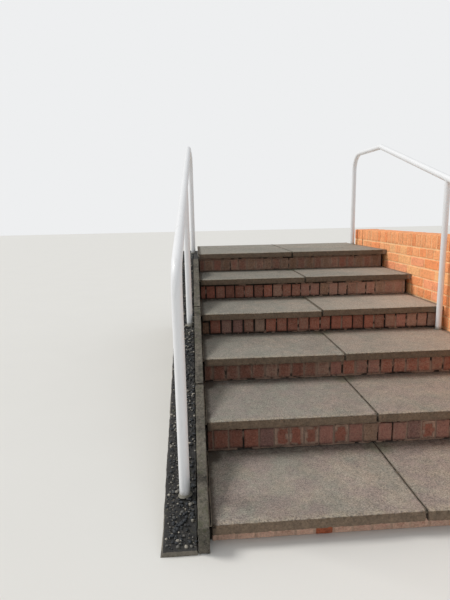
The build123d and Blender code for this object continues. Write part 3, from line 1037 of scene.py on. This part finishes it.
class STEPS_OT_bed_kerb(bpy.types.Operator):
    """Bed the precast edging units of the kerb"""
    bl_idname = "steps.bed_kerb"
    bl_label = "Bed Kerb"

    def execute(self, context):
        looks = context.scene.concrete_steps.edge
        material = rough_concrete("kerb_concrete", looks, looks.kerb, 0.55, 110.0, 2.6)
        slope = pitch_slope()
        angle = math.atan(slope)
        down = Vector((0, math.sin(angle), -math.cos(angle))) * looks.unit_depth
        for node in ("kerb_lower", "kerb_middle", "kerb_upper"):
            low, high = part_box(node)
            end = Vector((low.x, high.y - down.y, high.z))
            start = Vector((low.x, low.y, high.z - slope * (end.y - low.y)))
            if low.z < 0.001:
                ground_y = start.y + down.y - (start.z + down.z) / slope
                points = [(low.x, low.y, 0), start, end, end + down, (low.x, ground_y, 0)]
            else:
                points = [start, end, end + down, start + down]
            bm = prism(points, Vector((high.x - low.x, 0, 0)))
            top = [edge for edge in bm.edges if self.on_top(edge, start, slope)]
            bevel(bm, top, looks.kerb_arris, 3)
            bevel(bm, sharp_edges(bm), 0.002, 1)
            cut(bm, 1, spread(low.y + 0.003, high.y - 0.003, 0.008))
            cut(bm, 0, spread(low.x + looks.kerb_arris, high.x - looks.kerb_arris, 0.006))
            self.cut_along(bm, start, down, [0.014, 0.024, 0.036, 0.05, 0.068, 0.09, 0.115])
            push(bm, looks.kerb_pits, 0.030, node)
            push(bm, looks.kerb_grain, 0.011, node + " fine")
            finish_piece(f"{node}_unit", bm, material, "kerb_concrete", node)
        return {"FINISHED"}

    def on_top(self, edge, start, slope):
        """Whether an edge runs along the line of the unit's top."""
        first, last = (vert.co - start for vert in edge.verts)
        on_line = max(abs(first.z - slope * first.y), abs(last.z - slope * last.y)) < 1e-4
        return on_line and abs(first.y - last.y) > 0.1

    def cut_along(self, bm, start, down, depths):
        """Cuts the unit's sides parallel to its top."""
        normal = down.normalized()
        for depth in depths:
            geometry = bm.verts[:] + bm.edges[:] + bm.faces[:]
            place = start + normal * depth
            bmesh.ops.bisect_plane(bm, geom=geometry, dist=1e-6, plane_co=place, plane_no=normal)


class STEPS_OT_pour_haunch(bpy.types.Operator):
    """Pour the haunch beside the kerb, with the stones that show in its top"""
    bl_idname = "steps.pour_haunch"
    bl_label = "Pour Haunch"

    def execute(self, context):
        looks = context.scene.concrete_steps.edge
        low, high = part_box("left_haunch")
        kerb_low, kerb_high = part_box("kerb_upper")
        slope = pitch_slope()
        material = rough_concrete("haunch_concrete", looks, looks.haunch, 0.2, 70.0, 1.6)
        side = rough_concrete("haunch_side", looks, looks.core, 0.3, 80.0)
        angle = math.atan(slope)
        drop = looks.haunch_drop
        kerb_end_y = kerb_high.y - looks.unit_depth * math.sin(angle)

        def kerb_top(y):
            return kerb_high.z - slope * (kerb_end_y - y)

        level_y = kerb_end_y + (high.z - kerb_top(kerb_end_y) + drop) / slope
        outer = prism([
            (low.x, low.y, low.z),
            (low.x, low.y, kerb_top(low.y) - drop),
            (low.x, level_y, high.z),
            (low.x, high.y, high.z),
            (low.x, high.y, low.z),
        ], Vector((kerb_low.x - low.x, 0, 0)))
        top_edge = [edge for edge in outer.edges
                    if all(vert.co.x < low.x + 1e-5 and vert.co.z > low.z + 0.01 for vert in edge.verts)
                    and abs(edge.verts[0].co.y - edge.verts[1].co.y) > 0.3]
        bevel(outer, top_edge, looks.batter, 4)
        below = looks.unit_depth / math.cos(angle)
        ground_y = kerb_end_y - (kerb_top(kerb_end_y) - below) / slope
        end_low = Vector((0, kerb_high.y, kerb_high.z - looks.unit_depth * math.cos(angle)))
        inner = prism([
            (kerb_low.x, ground_y, low.z),
            (kerb_low.x, end_low.y, end_low.z),
            (kerb_low.x, kerb_end_y, min(kerb_high.z, high.z)),
            (kerb_low.x, kerb_end_y, high.z),
            (kerb_low.x, high.y, high.z),
            (kerb_low.x, high.y, low.z),
        ], Vector((high.x - kerb_low.x, 0, 0)))
        for part, fine in ((outer, 0.016), (inner, 0.02)):
            bmesh.ops.remove_doubles(part, verts=part.verts, dist=1e-5)
            cut(part, 1, spread(low.y, high.y, fine))
            cut(part, 0, spread(low.x, high.x, fine))
            cut(part, 2, spread(low.z, high.z, 0.035))
            for depth, scale, seed in ((looks.haunch_pits, 0.055, "haunch"), (0.003, 0.018, "haunch fine")):
                push(part, depth, scale, seed, lambda vert: vert.co.z > low.z + 0.001)
            for vert in part.verts:
                vert.co.z = max(vert.co.z, low.z)
        gather(outer, inner)
        nodes = ("haunch_concrete", "left_haunch")
        piece = finish_piece("haunch_concrete", outer, material, *nodes, crease=50.0)
        piece.data.materials.append(side)
        for face in piece.data.polygons:
            face.material_index = int(face.normal.z < 0.5)
        self.press_in_stones(looks, low, high, kerb_low.x, kerb_top, drop)
        return {"FINISHED"}

    def press_in_stones(self, looks, low, high, inner_x, kerb_top, drop):
        """Stones that stand half out of the haunch's top, few faces to each."""
        paint = Paint("haunch_stone")
        body = paint.mix(paint.attribute("tone"), looks.stone, looks.pale_stone)
        light = paint.uneven((45.0, 3.0, 0.9), (160.0, 3.0, 0.9))
        paint.set(Base_Color=paint.scaled(body, light), Roughness=0.75)
        paint.bump(paint.noise(160.0, 3.0, 0.6), 0.001, 0.5)
        rng = random.Random("stones")
        template = bmesh.new()
        bmesh.ops.create_icosphere(template, subdivisions=1, radius=1.0)
        shapes = [template.copy() for shape in range(12)]
        for place, shape in enumerate(shapes):
            push(shape, 0.6, 0.9, f"stone {place}")
        stones = bmesh.new()
        for place in range(looks.stone_count):
            x = rng.uniform(low.x + looks.batter * 0.5, inner_x - 0.005)
            y = rng.uniform(low.y + 0.014, high.y - 0.014)
            z = min(kerb_top(y) - drop, high.z)
            size = looks.stone_size * rng.choice((0.35, 0.45, 0.6, 0.6, 0.8, 1.0, 1.5))
            stone = rng.choice(shapes).copy()
            shape = Matrix.Diagonal((size * rng.uniform(0.8, 1.3), size, size * rng.uniform(0.5, 0.8), 1))
            turn = Matrix.Rotation(rng.uniform(0, math.pi), 4, "Z")
            sink = Vector((x, y, z - size * 0.1 - 0.003 * (x < low.x + looks.batter)))
            bmesh.ops.transform(stone, matrix=Matrix.Translation(sink) @ turn @ shape, verts=stone.verts)
            set_values(stone, tone=max(0.0, rng.uniform(-0.9, 1.0)) ** 2.0)
            gather(stones, stone)
        for part in (template, *shapes):
            part.free()
        finish_piece("haunch_stones", stones, paint.material, "haunch_concrete", "left_haunch", crease=60.0)


class STEPS_OT_cast_core(bpy.types.Operator):
    """Cast the stepped concrete under the slabs, with the mortar that fills in beside the wall"""
    bl_idname = "steps.cast_core"
    bl_label = "Cast Core"

    def execute(self, context):
        looks = context.scene.concrete_steps.edge
        core = rough_concrete("core_concrete", looks, looks.core, 0.1, 80.0)
        fill = rough_concrete("wall_fill", looks, looks.fill, 0.3, 150.0)
        low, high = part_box("concrete_core")
        beside_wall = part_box("tread_1_right")[1].x
        bm = bmesh.new()
        bm.from_mesh(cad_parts["concrete_core"].data)
        bmesh.ops.remove_doubles(bm, verts=bm.verts, dist=1e-5)
        bmesh.ops.dissolve_limit(bm, angle_limit=0.01, verts=bm.verts, edges=bm.edges)
        cut(bm, 0, [beside_wall] + spread(low.x, beside_wall, 0.03) + spread(beside_wall, high.x, 0.010))
        cut(bm, 2, spread(low.z, high.z, 0.03))
        cut(bm, 1, spread(low.y, high.y, 0.015))
        shift = random_shift("core")
        bm.normal_update()
        for vert in bm.verts:
            lift = swell(vert.co * 9 + shift)
            if vert.co.y > high.y - 1e-4 and vert.co.z > low.z + 1e-4:
                board = 0.0015 if math.floor(vert.co.z / 0.15) % 2 else 0.0
                vert.co.y -= 0.004 * lift + board
            elif vert.co.x > beside_wall + 1e-4 and vert.co.z > low.z + 1e-4:
                ragged = swell(vert.co * 45 + shift)
                vert.co -= vert.normal * Vector((0, 1, 1)) * (0.004 * lift + 0.005 * ragged)
        # The pockets at the risers' ends are painted dark, as painted shade.
        pocket = rough_concrete("pocket_shade", looks, looks.pocket, 0.1, 80.0, growth=looks.pocket)
        piece = finish_piece("core_concrete", bm, core, "mass_concrete", "concrete_core")
        piece.data.materials.append(fill)
        piece.data.materials.append(pocket)
        # Faces beside the wall that face forwards or up take the fill beside a slab, and the painted shade of
        # the pockets elsewhere.
        slabs = [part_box(node) for node in slab_nodes() if node.endswith("right")]
        for face in piece.data.polygons:
            if face.center.x > beside_wall and (face.normal.y < -0.5 or face.normal.z > 0.5):
                beside_slab = any(slab[0].z - 0.001 < face.center.z < slab[1].z for slab in slabs)
                face.material_index = 1 if beside_slab else 2
        return {"FINISHED"}


class STEPS_OT_fill_joints(bpy.types.Operator):
    """Fill the joints beside and between the slabs with dirt, below their tops"""
    bl_idname = "steps.fill_joints"
    bl_label = "Fill Joints"

    def execute(self, context):
        settings = context.scene.concrete_steps
        looks = settings.edge
        material = mortar_material("joint_dirt", looks.joint_dirt, settings.bricks.soot_and_shade)
        kerb_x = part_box("kerb_lower")[1].x
        whole = bmesh.new()
        for node in slab_nodes():
            low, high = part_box(node)
            if node.endswith("left"):
                start, end, drop = kerb_x - 0.004, low.x, looks.kerb_joint_depth
            else:
                start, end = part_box(node.replace("right", "left"))[1].x, low.x
                drop = SLAB_LOOKS[node.rsplit("_", 1)[0]].joint
            gather(whole, self.joint(start, end, low.y + 0.012, high, drop, node))
        for place in range(len(RISER_ROWS)):
            low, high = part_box(f"riser_{place + 1}")
            part = box((kerb_x - 0.004, low.y + 0.010, low.z), (low.x, low.y + 0.05, high.z))
            columns(part, 2, 0.009)
            push(part, 0.006, 0.02, f"end {place}", lambda vert: vert.co.y < low.y + 0.011)
            # The fills at the risers' ends are painted dark all over: dirt with painted shade in the gap.
            set_values(part, deep=0.8, light=1.0)
            gather(whole, part)
        finish_piece("joint_dirt", whole, material, "mass_concrete")
        return {"FINISHED"}

    def joint(self, start, end, front, high, drop, seed):
        """The dirt of one joint, nearly flush at its sides, with a crack that wanders along it."""
        flush = high.z - 0.0012
        part = box((start, front, high.z - 0.02), (end, high.y, flush))
        columns(part, 1, 0.008)
        cut(part, 0, spread(start, end, 0.0017))
        shift = random_shift(seed)
        layer = part.verts.layers.float.new("deep")
        for vert in part.verts:
            if vert.co.z > flush - 1e-4:
                along = Vector((0, vert.co.y, 0))
                middle = (start + end) / 2 + 0.0022 * noise.noise(along * 11 + shift)
                half = 0.0022 + 0.0022 * noise.noise(along * 45 + shift)
                inside = smooth(1.4 - abs(vert.co.x - middle) / max(half, 0.0004))
                vert.co.z -= inside * drop + 0.0008 * swell(vert.co * 90 + shift)
                # The deeper the crack, the darker it is painted: dirt with painted shade in the crack.
                vert[layer] = 0.30 + 1.0 * inside * smooth(drop / 0.003)
        set_values(part, light=1.0)
        return part


# Handrails

def coating_material(looks):
    """White plastic coating, with faint streaks and dirt low down."""
    paint = Paint("white_coating")
    cloud = paint.noise(9.0, 4.0, 0.6)
    specks = paint.step(paint.cells(90.0), 0.14, 0.06) * paint.step(paint.noise(23.0), 0.55, 0.62)
    values = {"Vector": paint.place, "Scale": (1.0, 1.0, 0.12)}
    upright = paint.node("ShaderNodeMapping", {}, values, "Vector")
    streak = paint.step(paint.noise(30.0, 4.0, 0.6, upright), 0.56, 0.75)
    body = paint.scaled(looks.coating, 0.95 + 0.06 * cloud)
    body = paint.mix(streak * 0.16, body, looks.grime)
    body = paint.mix(specks * 0.5, body, looks.grime)
    foot = paint.where("foot", 0.7 * (paint.noise(60.0, 4.0, 0.7) - 0.5), 0.35, 0.9)
    body = paint.mix(foot * 0.75, body, looks.grime)
    paint.set(Base_Color=body, Roughness=0.36 + 0.16 * cloud, Coat_Weight=0.15)
    paint.bump(paint.noise(120.0, 2.0, 0.5), 0.0004, 0.3)
    return paint.material


class Tube:
    """A bent tube that grows from its foot, one straight run or bend after another."""

    def __init__(self, foot, heading, radius, sides=44):
        self.bm = bmesh.new()
        self.centre = Vector(foot)
        self.heading = Vector(heading).normalized()
        made = bmesh.ops.create_circle(self.bm, segments=sides, radius=radius)
        turn = Vector((0, 0, 1)).rotation_difference(self.heading).to_matrix().to_4x4()
        bmesh.ops.transform(self.bm, matrix=Matrix.Translation(self.centre) @ turn, verts=made["verts"])
        self.bm.faces.new(self.bm.verts)
        self.rim = self.bm.edges[:]

    def straight(self, distance, pitch=0.04):
        """Grows straight on."""
        count = max(1, round(distance / pitch))
        step = self.heading * distance / count
        for place in range(count):
            made = bmesh.ops.extrude_edge_only(self.bm, edges=self.rim)
            verts = [part for part in made["geom"] if isinstance(part, bmesh.types.BMVert)]
            self.rim = [part for part in made["geom"] if isinstance(part, bmesh.types.BMEdge)
                        and all(vert in verts for vert in part.verts)]
            bmesh.ops.translate(self.bm, verts=verts, vec=step)
        self.centre += self.heading * distance

    def bend(self, towards, radius, steps):
        """Bends to a new heading."""
        towards = Vector(towards).normalized()
        axis = self.heading.cross(towards).normalized()
        angle = self.heading.angle(towards)
        middle = self.centre + axis.cross(self.heading) * radius
        made = bmesh.ops.spin(self.bm, geom=self.rim, cent=middle, axis=axis, angle=angle, steps=steps)
        self.rim = [part for part in made["geom_last"] if isinstance(part, bmesh.types.BMEdge)]
        turn = Matrix.Rotation(angle, 3, axis)
        self.centre = middle + turn @ (self.centre - middle)
        self.heading = towards

    def close(self):
        """Closes the end and turns the faces outwards."""
        bmesh.ops.contextual_create(self.bm, geom=self.rim)
        bmesh.ops.recalc_face_normals(self.bm, faces=self.bm.faces)
        return self.bm


class STEPS_OT_fit_handrails(bpy.types.Operator):
    """Fit the bent white handrails with their middle posts and welds"""
    bl_idname = "steps.fit_handrails"
    bl_label = "Fit Handrails"

    def execute(self, context):
        looks = context.scene.concrete_steps.rails
        self.paint = coating_material(looks)
        for side in ("left", "right"):
            self.fit_rail(side, looks)
        return {"FINISHED"}

    def fit_rail(self, side, looks):
        """One handrail: its bent tube, its middle post and the weld between them."""
        foot, radius = self.post_foot(f"{side}_bottom_post")
        far_foot, radius = self.post_foot(f"{side}_top_post")
        across = (far_foot - foot) * Vector((1, 1, 0))
        along = across.normalized()
        middle, angle = self.run_line(f"{side}_sloping_rail", radius)
        top_middle, top_angle = self.run_line(f"{side}_level_rail", radius)
        uphill = along * math.cos(angle) + Vector((0, 0, math.sin(angle)))
        onward = along * math.cos(top_angle) + Vector((0, 0, math.sin(top_angle)))
        low_corner_z = middle.z - (middle.y - foot.y) * math.tan(angle)
        top_start_z = top_middle.z - (top_middle.y - foot.y) * math.tan(top_angle)
        corner_run = (top_start_z - low_corner_z) / (math.tan(angle) - math.tan(top_angle))
        end_z = top_start_z + across.length * math.tan(top_angle)
        low_cut = looks.bottom_bend * math.tan((math.pi / 2 - angle) / 2)
        pitch_cut = looks.pitch_bend * math.tan((angle - top_angle) / 2)
        end_cut = looks.top_bend * math.tan((math.pi / 2 + top_angle) / 2)
        tube = Tube(foot, (0, 0, 1), radius)
        tube.straight(low_corner_z - foot.z - low_cut)
        tube.bend(uphill, looks.bottom_bend, 18)
        tube.straight(corner_run / math.cos(angle) - low_cut - pitch_cut)
        tube.bend(onward, looks.pitch_bend, 8)
        tube.straight((across.length - corner_run) / math.cos(top_angle) - pitch_cut - end_cut)
        tube.bend((0, 0, -1), looks.top_bend, 22)
        tube.straight(end_z - end_cut - far_foot.z)
        bm = tube.close()

        def near_ground(vert):
            nearest = min((foot, far_foot), key=lambda place: (vert.co - place).length)
            return 0.8 * smooth(1 - (vert.co.z - nearest.z - looks.set_in) / looks.grime_height)

        set_values(bm, foot=near_ground)
        nodes = [f"{side}_{name}" for name in
                 ("bottom_post", "sloping_rail", "level_rail", "top_post", "rail_bends")]
        finish_piece(f"{side}_handrail", bm, self.paint, "white_coating", *nodes)
        self.fit_middle_post(side, looks, foot, low_corner_z, angle, radius)

    def run_line(self, node, radius):
        """The middle of a straight run of tube, and the angle that it climbs at."""
        low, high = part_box(node)
        size = high - low
        angle = math.atan2(size.z, size.y)
        for turn in range(20):
            angle = math.atan2(size.z - 2 * radius * math.cos(angle), size.y - 2 * radius * math.sin(angle))
        return (low + high) / 2, angle

    def post_foot(self, node):
        """The middle of a post's foot, and its radius."""
        low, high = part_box(node)
        return Vector(((low.x + high.x) / 2, (low.y + high.y) / 2, low.z)), (high.y - low.y) / 2

    def fit_middle_post(self, side, looks, foot, low_corner_z, angle, rail_radius):
        """The thinner post under the sloping rail, and its weld bead."""
        node = f"{side}_middle_post"
        post_foot, radius = self.post_foot(node)
        head = low_corner_z + (post_foot.y - foot.y) * math.tan(angle)
        tube = Tube(post_foot, (0, 0, 1), radius)
        tube.straight(head - post_foot.z)
        bm = tube.close()
        ground = post_foot.z + looks.set_in
        set_values(bm, foot=lambda vert: 1.1 * smooth(1 - (vert.co.z - ground) / looks.low_grime))
        finish_piece(f"{side}_middle_post_tube", bm, self.paint, "white_coating", node)
        bead = bmesh.new()
        made = bmesh.ops.create_circle(bead, segments=10, radius=looks.weld)
        outwards = Matrix.Translation(Vector((radius + looks.weld * 0.3, 0, 0)))
        stand = outwards @ Matrix.Rotation(math.pi / 2, 4, "X")
        bmesh.ops.transform(bead, matrix=stand, verts=made["verts"])
        bmesh.ops.spin(bead, geom=bead.verts[:] + bead.edges[:], cent=(0, 0, 0), axis=(0, 0, 1),
                       angle=math.tau, steps=56, use_merge=True)
        bmesh.ops.recalc_face_normals(bead, faces=bead.faces)
        for vert in bead.verts:
            reach = math.hypot(vert.co.x, vert.co.y)
            off_side = min(abs(vert.co.x), rail_radius * 0.999)
            under = math.sqrt(rail_radius ** 2 - off_side ** 2) / math.cos(angle)
            ripple = 0.0006 * math.sin(math.atan2(vert.co.y, vert.co.x) * 26)
            vert.co.z += vert.co.y * math.tan(angle) - under - looks.weld * 0.2 + ripple * (reach > radius)
        bmesh.ops.translate(bead, vec=(post_foot.x, post_foot.y, head), verts=bead.verts)
        set_values(bead, foot=0.0)
        finish_piece(f"{side}_weld", bead, self.paint, "white_coating", node, crease=80.0)


class STEPS_OT_grout_posts(bpy.types.Operator):
    """Grout the feet of the posts"""
    bl_idname = "steps.grout_posts"
    bl_label = "Grout Posts"

    def execute(self, context):
        looks = context.scene.concrete_steps
        material = rough_concrete("post_grout", looks.edge, looks.slabs.grey, 0.1, 160.0)
        for side in ("left", "right"):
            for name in ("bottom_post", "middle_post", "top_post"):
                low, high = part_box(f"{side}_{name}")
                radius = (high.y - low.y) / 2
                bm = bmesh.new()
                bmesh.ops.create_cone(bm, cap_ends=True, segments=56, radius1=radius + 0.007,
                                      radius2=radius + 0.001, depth=0.008)
                cut(bm, 2, [-0.002, 0.0, 0.002])
                shift = random_shift(f"{side} {name}")
                for vert in bm.verts:
                    outwards = vert.co * Vector((1, 1, 0))
                    ragged = swell(vert.co * 40 + shift)
                    reach = max(0.0, outwards.length - radius)
                    vert.co += outwards.normalized() * reach * (2.2 * ragged - 0.8)
                    vert.co.z -= 0.003 * ragged
                ground = low.z + looks.rails.set_in + 0.001
                place = Vector(((low.x + high.x) / 2, (low.y + high.y) / 2, ground))
                bmesh.ops.translate(bm, vec=place, verts=bm.verts)
                finish_piece(f"{side}_{name}_grout", bm, material, "mass_concrete")
        return {"FINISHED"}


# Stage

# Colours of the sky and the sun as Blender's linear values, and the way that the sun shines.
SKY_TINT = (0.97, 0.985, 1.0, 1.0)
SUN_TINT = (1.0, 0.975, 0.94)
SUN_HEADING = Vector((0.85, -0.28, -0.88))
# Height in pixels of the picture that the focal length is given for.
PICTURE_HEIGHT = 600


class STEPS_OT_light_stage(bpy.types.Operator):
    """Make the floor, the light and the camera"""
    bl_idname = "steps.light_stage"
    bl_label = "Light Stage"

    def execute(self, context):
        looks = context.scene.concrete_steps.stage
        self.lay_floor(looks)
        self.hang_light(context, looks)
        self.place_camera(context, looks)
        context.scene.view_settings.view_transform = "Standard"
        return {"FINISHED"}

    def lay_floor(self, looks):
        """A plain pale floor."""
        bm = bmesh.new()
        bmesh.ops.create_grid(bm, x_segments=1, y_segments=1, size=40.0)
        bmesh.ops.translate(bm, vec=(0, 0, -0.0005), verts=bm.verts)
        mesh = bpy.data.meshes.new("floor")
        bm.to_mesh(mesh)
        bm.free()
        paint = Paint("floor")
        paint.set(Base_Color=paint.scaled(looks.floor, 0.985 + 0.03 * paint.noise(2.0)), Roughness=0.9)
        mesh.materials.append(paint.material)
        floor = bpy.data.objects.new("floor", mesh)
        bpy.context.scene.collection.objects.link(floor)

    def hang_light(self, context, looks):
        """Even light from all sides, and a soft key from the left, behind and above."""
        world = bpy.data.worlds.new("studio")
        world.use_nodes = True
        context.scene.world = world
        tree = world.node_tree
        lit = tree.nodes["Background"]
        lit.inputs["Color"].default_value = SKY_TINT
        lit.inputs["Strength"].default_value = looks.sky
        seen = tree.nodes.new("ShaderNodeBackground")
        seen.inputs["Color"].default_value = (*looks.backdrop, 1.0)
        ray = tree.nodes.new("ShaderNodeLightPath")
        mix = tree.nodes.new("ShaderNodeMixShader")
        tree.links.new(ray.outputs["Is Camera Ray"], mix.inputs["Fac"])
        tree.links.new(lit.outputs["Background"], mix.inputs[1])
        tree.links.new(seen.outputs["Background"], mix.inputs[2])
        tree.links.new(mix.outputs["Shader"], tree.nodes["World Output"].inputs["Surface"])
        light = bpy.data.lights.new("key", "SUN")
        light.energy = looks.sun
        light.angle = looks.sun_spread
        light.color = SUN_TINT
        key = bpy.data.objects.new("key", light)
        key.rotation_euler = SUN_HEADING.to_track_quat("-Z", "Y").to_euler()
        context.scene.collection.objects.link(key)

    def place_camera(self, context, looks):
        """The camera at the photograph's viewing angle."""
        lens = bpy.data.cameras.new("camera")
        lens.lens = looks.focal_pixels / PICTURE_HEIGHT * lens.sensor_width
        camera = bpy.data.objects.new("camera", lens)
        turn = Matrix.Rotation(-looks.yaw, 4, "Z")
        tip = Matrix.Rotation(math.pi / 2 - looks.pitch, 4, "X")
        lean = Matrix.Rotation(looks.roll, 4, "Z")
        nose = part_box("tread_1_left")[0] * Vector((1, 1, 0))
        camera.matrix_world = Matrix.Translation(nose + Vector(looks.camera_place)) @ turn @ tip @ lean
        context.scene.collection.objects.link(camera)
        context.scene.camera = camera


class STEPS_PT_panel(bpy.types.Panel):
    """The steps' pieces and settings"""
    bl_label = "Concrete Steps"
    bl_idname = "STEPS_PT_panel"
    bl_space_type = "VIEW_3D"
    bl_region_type = "UI"
    bl_category = "Steps"

    def draw(self, context):
        settings = context.scene.concrete_steps
        for name in ("slabs", "bricks", "wall", "edge", "rails", "stage"):
            group = getattr(settings, name)
            column = self.layout.column(align=True)
            column.label(text=name.capitalize())
            for setting in group.bl_rna.properties.keys():
                if setting not in ("rna_type", "name"):
                    column.prop(group, setting)
        for operator in OPERATORS:
            self.layout.operator(operator.bl_idname)


OPERATORS = (
    STEPS_OT_cast_core,
    STEPS_OT_fill_joints,
    STEPS_OT_set_risers,
    STEPS_OT_lay_slabs,
    STEPS_OT_build_wall,
    STEPS_OT_bed_kerb,
    STEPS_OT_pour_haunch,
    STEPS_OT_fit_handrails,
    STEPS_OT_grout_posts,
    STEPS_OT_light_stage,
)
CLASSES = (
    STEPS_PG_slabs,
    STEPS_PG_bricks,
    STEPS_PG_wall,
    STEPS_PG_edge,
    STEPS_PG_rails,
    STEPS_PG_stage,
    STEPS_PG_all,
    *OPERATORS,
    STEPS_PT_panel,
)


def register():
    for kind in CLASSES:
        bpy.utils.register_class(kind)
    bpy.types.Scene.concrete_steps = bpy.props.PointerProperty(type=STEPS_PG_all)


def unregister():
    del bpy.types.Scene.concrete_steps
    for kind in reversed(CLASSES):
        bpy.utils.unregister_class(kind)


def main():
    """Builds every piece in order."""
    register()
    bpy.ops.steps.cast_core()
    bpy.ops.steps.fill_joints()
    bpy.ops.steps.set_risers()
    bpy.ops.steps.lay_slabs()
    bpy.ops.steps.build_wall()
    bpy.ops.steps.bed_kerb()
    bpy.ops.steps.pour_haunch()
    bpy.ops.steps.fit_handrails()
    bpy.ops.steps.grout_posts()
    bpy.ops.steps.light_stage()


if __name__ == "__main__":
    main()
